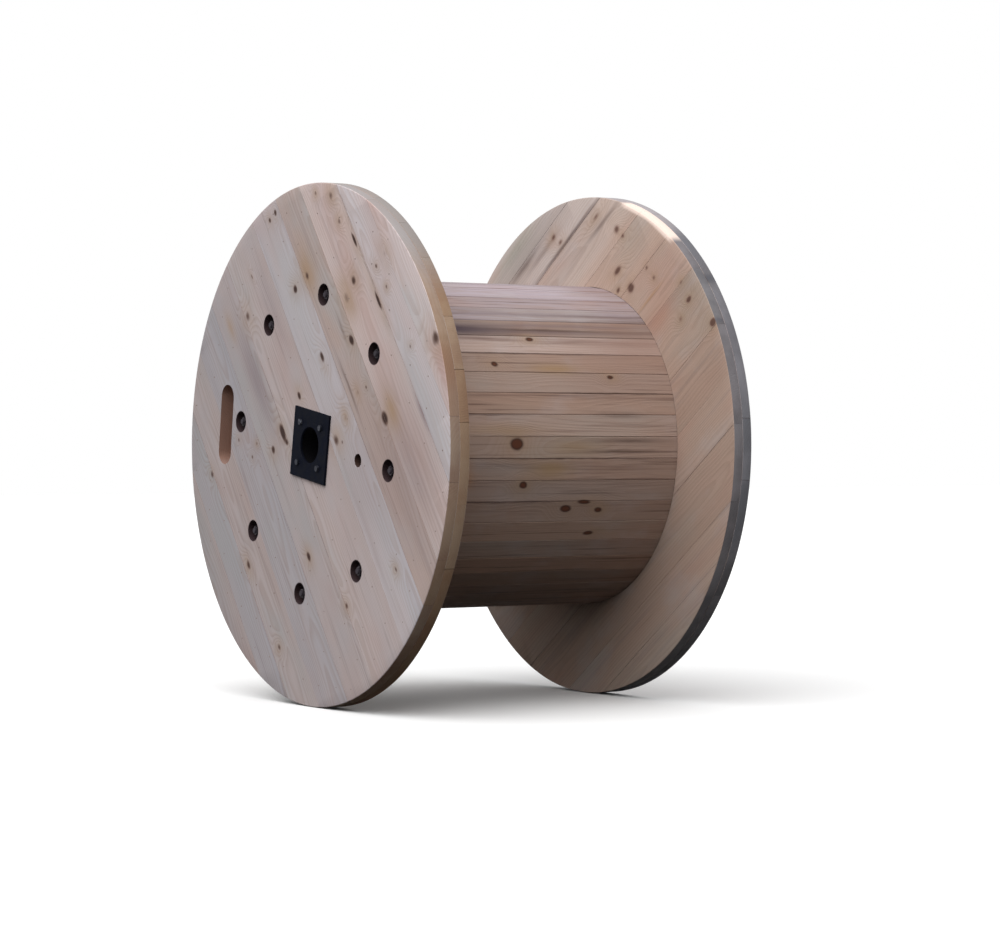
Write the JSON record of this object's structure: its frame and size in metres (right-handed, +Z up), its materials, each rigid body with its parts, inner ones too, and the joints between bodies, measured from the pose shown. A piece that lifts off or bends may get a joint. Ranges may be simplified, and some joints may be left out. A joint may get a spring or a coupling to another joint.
{
  "type": "wooden cable drum",
  "caption": "Large wooden cable drum: two round flanges of crossed boards and a barrel of staves, clamped by tie rods, with steel centre plates and a cable slot.",
  "frame": {"origin": "on the floor under the middle of the drum, half way between the two flange rims that it lies on", "axes": "+X along the drum's axis towards the flange without the cable slot, +Z up"},
  "size_m": [1.242, 1.8, 1.7999],
  "materials": {
    "flange_wood": "sawn, weathered",
    "barrel_wood": "sawn, weathered",
    "plate_steel": "black, satin",
    "rod_steel": "dull zinc"
  },
  "bodies": {
    "root": {"left_flange_outer_boards": "flange_wood", "left_flange_inner_boards": "flange_wood", "right_flange_outer_boards": "flange_wood", "right_flange_inner_boards": "flange_wood", "barrel_staves": "barrel_wood", "left_centre_plate": "plate_steel", "right_centre_plate": "plate_steel", "left_plate_screws": "rod_steel", "right_plate_screws": "rod_steel", "left_washers": "rod_steel", "right_washers": "rod_steel", "left_nuts": "rod_steel", "right_nuts": "rod_steel", "tie_rod_1": "rod_steel", "tie_rod_2": "rod_steel", "tie_rod_3": "rod_steel", "tie_rod_4": "rod_steel", "tie_rod_5": "rod_steel", "tie_rod_6": "rod_steel", "tie_rod_7": "rod_steel", "tie_rod_8": "rod_steel"}
  },
  "joints": []
}
